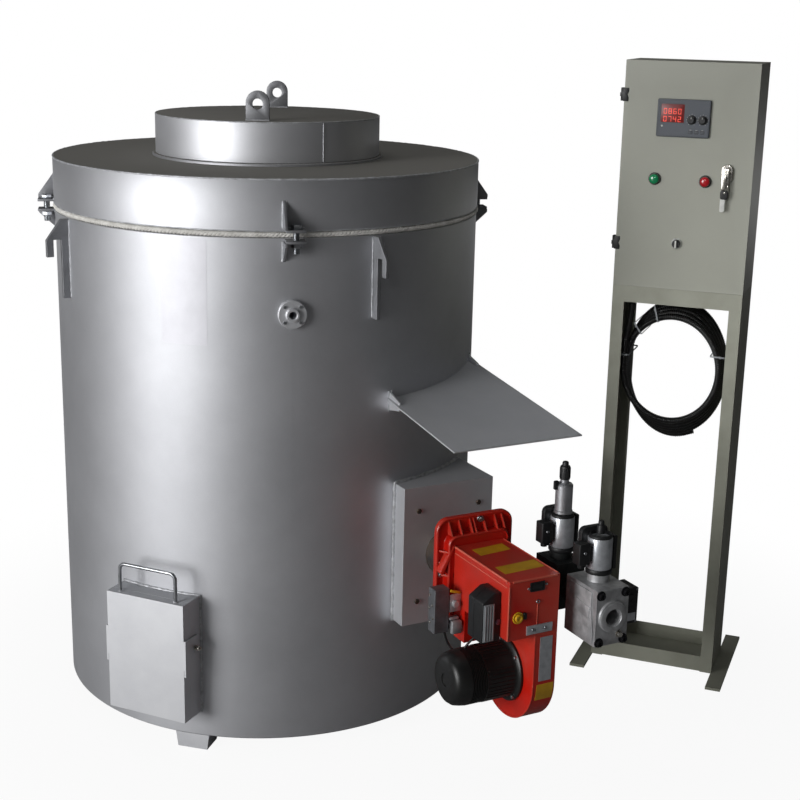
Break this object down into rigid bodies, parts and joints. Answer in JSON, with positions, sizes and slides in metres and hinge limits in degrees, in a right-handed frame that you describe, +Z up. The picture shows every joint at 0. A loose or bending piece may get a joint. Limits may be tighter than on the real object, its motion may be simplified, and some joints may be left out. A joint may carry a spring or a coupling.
{
  "type": "gas crucible melting furnace",
  "caption": "Round gas-fired crucible furnace for melting aluminum, with lift-off lid, side burner and gas valves, clean-out door, and a control cabinet on a stand.",
  "frame": {"origin": "on the floor, at the centre of the bounding box of the furnace and its control stand", "axes": "+Z up, the front towards -Y, the control stand towards +X"},
  "size_m": [2.007, 1.4346, 1.703],
  "materials": {
    "silver_paint": "silver paint",
    "refractory": "cast refractory",
    "graphite": "clay graphite",
    "ceramic_rope": "braided ceramic rope",
    "zinc_steel": "zinc plated",
    "dark_steel": "black heat-stained steel",
    "red_paint": "red enamel on cast and sheet aluminium",
    "motor_black": "black paint on a finned aluminium frame",
    "black_plastic": "black moulded plastic",
    "conduit_black": "black corrugated conduit",
    "yellow_plastic": "yellow",
    "cast_aluminium": "die cast",
    "black_casting": "black paint",
    "bright_metal": "bright plated",
    "cabinet_grey": "beige-grey textured powder coat",
    "stand_grey": "olive-grey paint",
    "green_plastic": "green",
    "red_plastic": "red",
    "tie_plastic": "white cable tie"
  },
  "bodies": {
    "plant": {"furnace_shell": "silver_paint", "refractory_lining": "refractory", "crucible_pedestal": "refractory", "crucible": "graphite", "furnace_foot_1": "silver_paint", "furnace_foot_2": "silver_paint", "furnace_foot_3": "silver_paint", "rope_gasket": "ceramic_rope", "cover_ring": "silver_paint", "cover_ring_lining": "refractory", "clamp_bolt_1": "zinc_steel", "clamp_bolt_2": "zinc_steel", "clamp_bolt_3": "zinc_steel", "clamp_bolt_4": "zinc_steel", "lifting_hook_1": "silver_paint", "lifting_hook_2": "silver_paint", "lifting_hook_3": "silver_paint", "lifting_hook_4": "silver_paint", "port_flange": "silver_paint", "cleanout_frame": "silver_paint", "burner_box": "silver_paint", "heat_shade": "silver_paint", "blast_tube": "dark_steel", "burner_flange": "red_paint", "burner_body": "red_paint", "fan_housing": "red_paint", "burner_motor": "motor_black", "control_box": "black_plastic", "damper_actuator": "cast_aluminium", "gas_valve_1": "black_casting", "gas_valve_2": "cast_aluminium", "valve_1_coil": "bright_metal", "valve_2_coil": "bright_metal", "slow_opening_cylinder": "bright_metal", "valve_2_cap": "black_plastic", "gas_elbow": "black_casting", "pressure_switch": "black_plastic", "cabinet_box": "cabinet_grey", "control_stand": "stand_grey", "conduit_gland": "black_plastic", "conduit_coil": "conduit_black", "conduit_lead": "conduit_black", "coil_tie_left": "tie_plastic", "coil_tie_right": "tie_plastic"},
    "lid": {"lid_casing": "silver_paint", "lid_plug": "refractory"},
    "cleanout": {"cleanout_door": "silver_paint", "door_handle": "zinc_steel"},
    "panel_door": {"cabinet_door": "cabinet_grey", "temperature_controller": "black_plastic", "door_lock": "zinc_steel"},
    "fan": {"fan_wheel": "zinc_steel"},
    "air_flap": {"damper_flap": "zinc_steel"},
    "burner_reset": {"reset_button": "yellow_plastic"},
    "left_dial": {"controller_dial_left": "black_plastic"},
    "right_dial": {"controller_dial_right": "black_plastic"},
    "start_button": {"green_button": "green_plastic"},
    "stop_button": {"red_button": "red_plastic"},
    "selector": {"selector_switch": "black_plastic"},
    "lock": {"lock_barrel": "zinc_steel"}
  },
  "joints": [
    {"name": "lid_lift", "type": "slide", "parent": "plant", "child": "lid", "axis": [0, 0, 1], "range_m": [0, 0.35]},
    {"name": "cleanout_door_lift", "type": "slide", "parent": "plant", "child": "cleanout", "axis": [0, 0, 1], "range_m": [0, 0.32]},
    {"name": "panel_door_hinge", "type": "hinge", "parent": "plant", "child": "panel_door", "pos_m": [0.52604, 0.13244, 1.403], "axis": [0, 0, -1], "range_deg": [0, 120]},
    {"name": "fan_spin", "type": "hinge", "parent": "plant", "child": "fan", "pos_m": [0.17986, -0.5615, 0.3], "axis": [0.9239, 0.3827, 0], "continuous": true},
    {"name": "air_flap_turn", "type": "hinge", "parent": "plant", "child": "air_flap", "pos_m": [0.0797, -0.49475, 0.392], "axis": [0.9239, 0.3827, 0], "range_deg": [0, 90]},
    {"name": "burner_reset_press", "type": "slide", "parent": "plant", "child": "burner_reset", "axis": [-0.3827, 0.9239, 0], "range_m": [0, 0.003], "stiffness_N_per_m": 600},
    {"name": "left_dial_turn", "type": "hinge", "parent": "panel_door", "child": "left_dial", "pos_m": [0.68582, 0.02754, 1.555], "axis": [-0.4348, -0.9005, 0], "range_deg": [0, 300]},
    {"name": "right_dial_turn", "type": "hinge", "parent": "panel_door", "child": "right_dial", "pos_m": [0.71194, 0.01493, 1.555], "axis": [-0.4348, -0.9005, 0], "range_deg": [0, 300]},
    {"name": "start_button_press", "type": "slide", "parent": "panel_door", "child": "start_button", "axis": [0.4348, 0.9005, 0], "range_m": [0, 0.004], "stiffness_N_per_m": 800},
    {"name": "stop_button_press", "type": "slide", "parent": "panel_door", "child": "stop_button", "axis": [0.4348, 0.9005, 0], "range_m": [0, 0.004], "stiffness_N_per_m": 800},
    {"name": "selector_turn", "type": "hinge", "parent": "panel_door", "child": "selector", "pos_m": [0.67222, 0.04077, 1.228], "axis": [-0.4348, -0.9005, 0], "range_deg": [-45, 45]},
    {"name": "lock_turn", "type": "hinge", "parent": "panel_door", "child": "lock", "pos_m": [0.78377, -0.0042, 1.421], "axis": [-0.4348, -0.9005, 0], "range_deg": [0, 90]}
  ]
}
